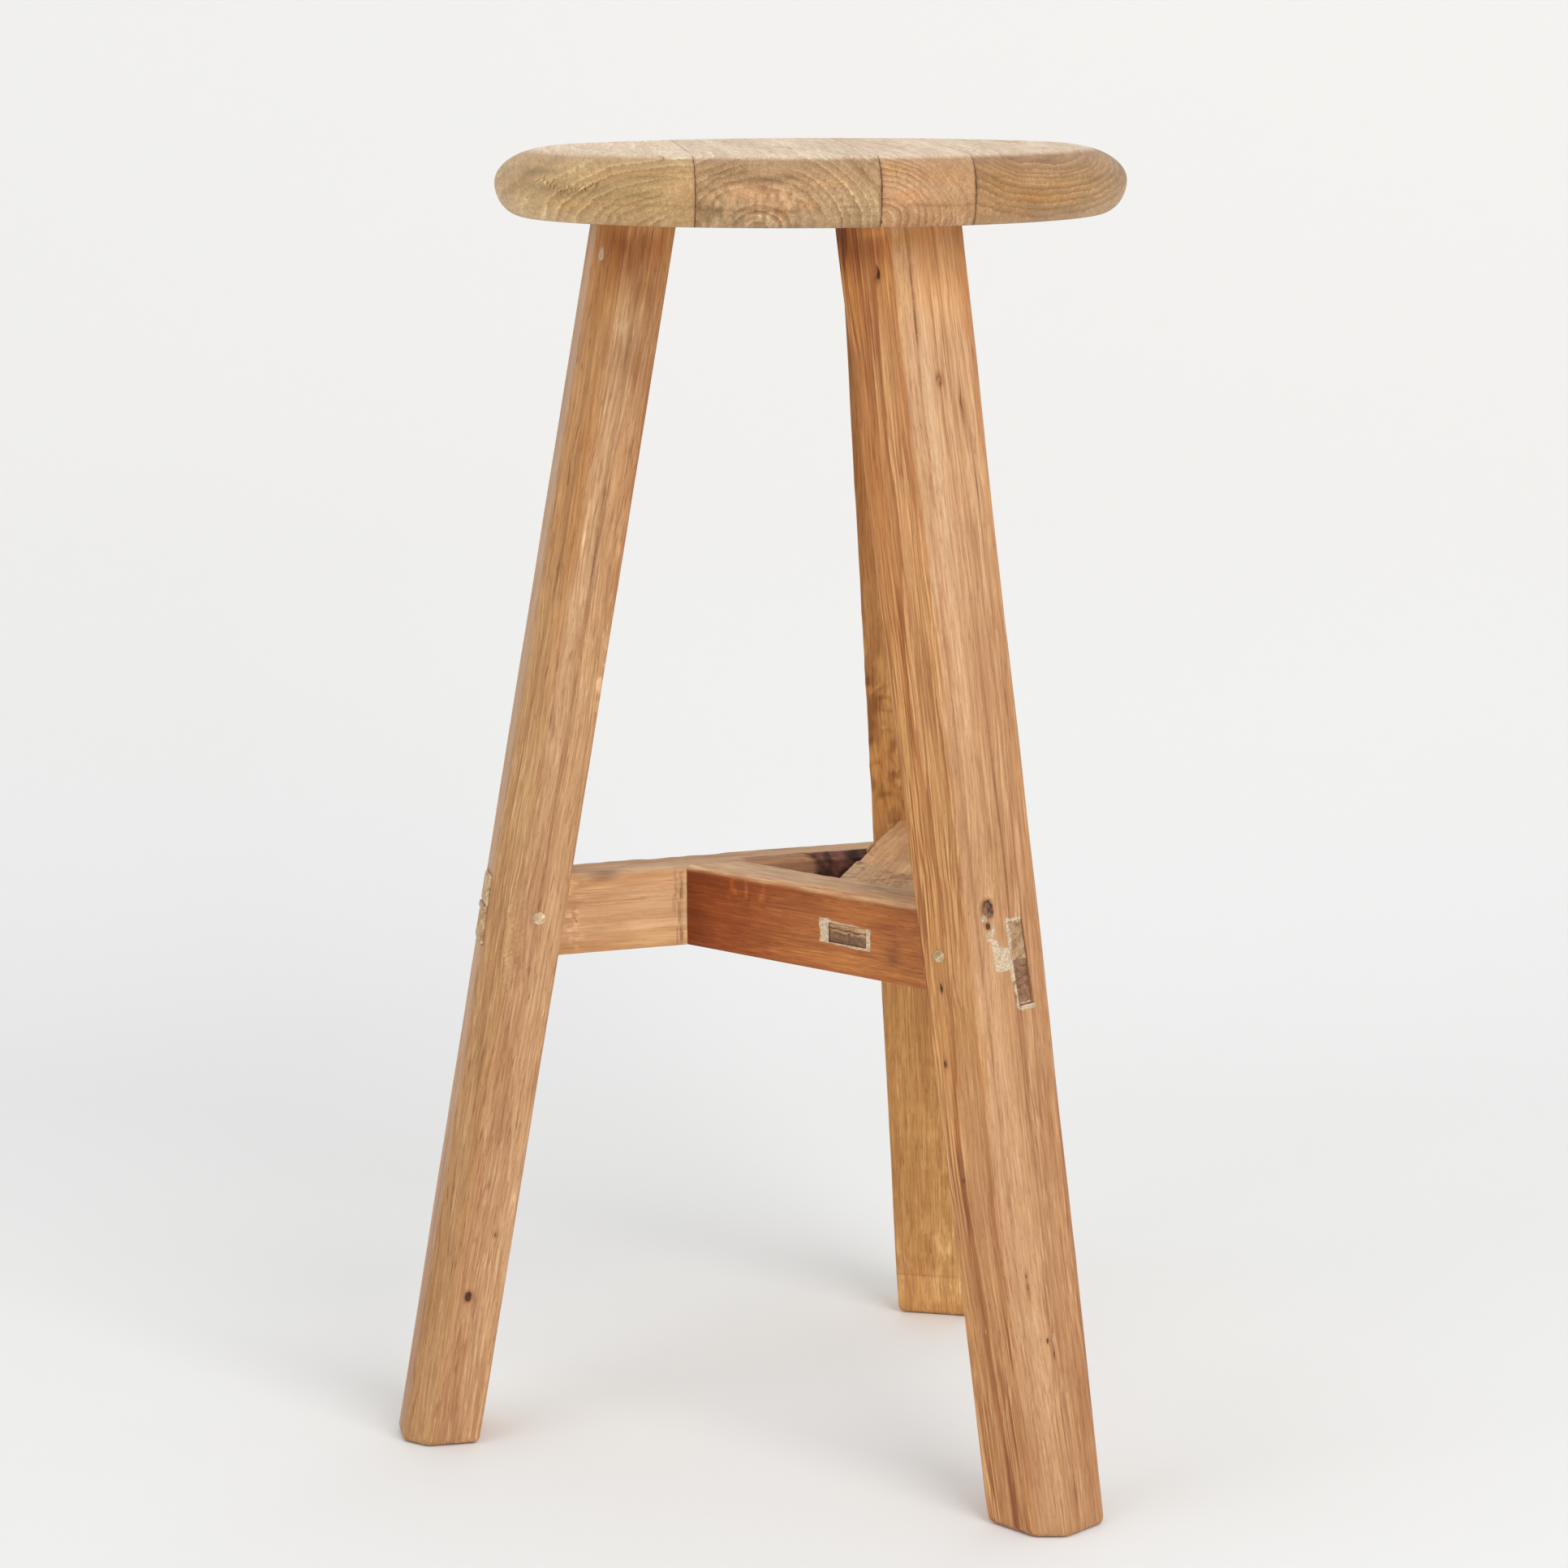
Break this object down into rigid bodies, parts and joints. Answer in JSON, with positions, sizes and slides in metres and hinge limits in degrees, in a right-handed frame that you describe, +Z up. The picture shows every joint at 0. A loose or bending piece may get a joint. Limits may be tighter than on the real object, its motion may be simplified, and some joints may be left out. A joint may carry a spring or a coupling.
{
  "type": "three-legged stool",
  "caption": "Round plank-top counter stool in reclaimed wood, on splayed legs braced by a pinwheel of through-tenoned stretchers.",
  "frame": {"origin": "on the floor, in the middle of the box round the whole stool. The axis of the round seat stands 29.6 mm towards +X and 5.0 mm towards -Y of it", "axes": "+Z up; the front of the stool looks to -Y, with the back leg towards +Y, the left leg towards -X and the right leg towards +X and -Y"},
  "size_m": [0.3693, 0.3844, 0.651],
  "materials": {
    "elm_seat": "olive-tan reclaimed elm, sanded and waxed, with end-grain arcs round the rim",
    "elm_legs": "orange-brown reclaimed elm with long dark streaks, matte to satin wax",
    "elm_stretchers": "reddish-brown reclaimed elm, weathered grey on top",
    "hardwood_pegs": "pale end grain, unfinished",
    "hardwood_wedges": "dark end grain, unfinished"
  },
  "bodies": {
    "root": {"seat_board_1": "elm_seat", "seat_board_2": "elm_seat", "seat_board_3": "elm_seat", "seat_board_4": "elm_seat", "seat_dowel_1": "hardwood_pegs", "seat_dowel_2": "hardwood_pegs", "seat_dowel_3": "hardwood_pegs", "seat_dowel_4": "hardwood_pegs", "seat_dowel_5": "hardwood_pegs", "seat_dowel_6": "hardwood_pegs", "leg_left": "elm_legs", "leg_right": "elm_legs", "leg_back": "elm_legs", "stretcher_left": "elm_stretchers", "stretcher_right": "elm_stretchers", "stretcher_back": "elm_stretchers", "peg_left": "hardwood_pegs", "peg_right": "hardwood_pegs", "peg_back": "hardwood_pegs", "wedge_leg_left": "hardwood_wedges", "wedge_leg_right": "hardwood_wedges", "wedge_leg_back": "hardwood_wedges", "wedge_hub_left": "hardwood_wedges", "wedge_hub_right": "hardwood_wedges", "wedge_hub_back": "hardwood_wedges"}
  },
  "joints": []
}
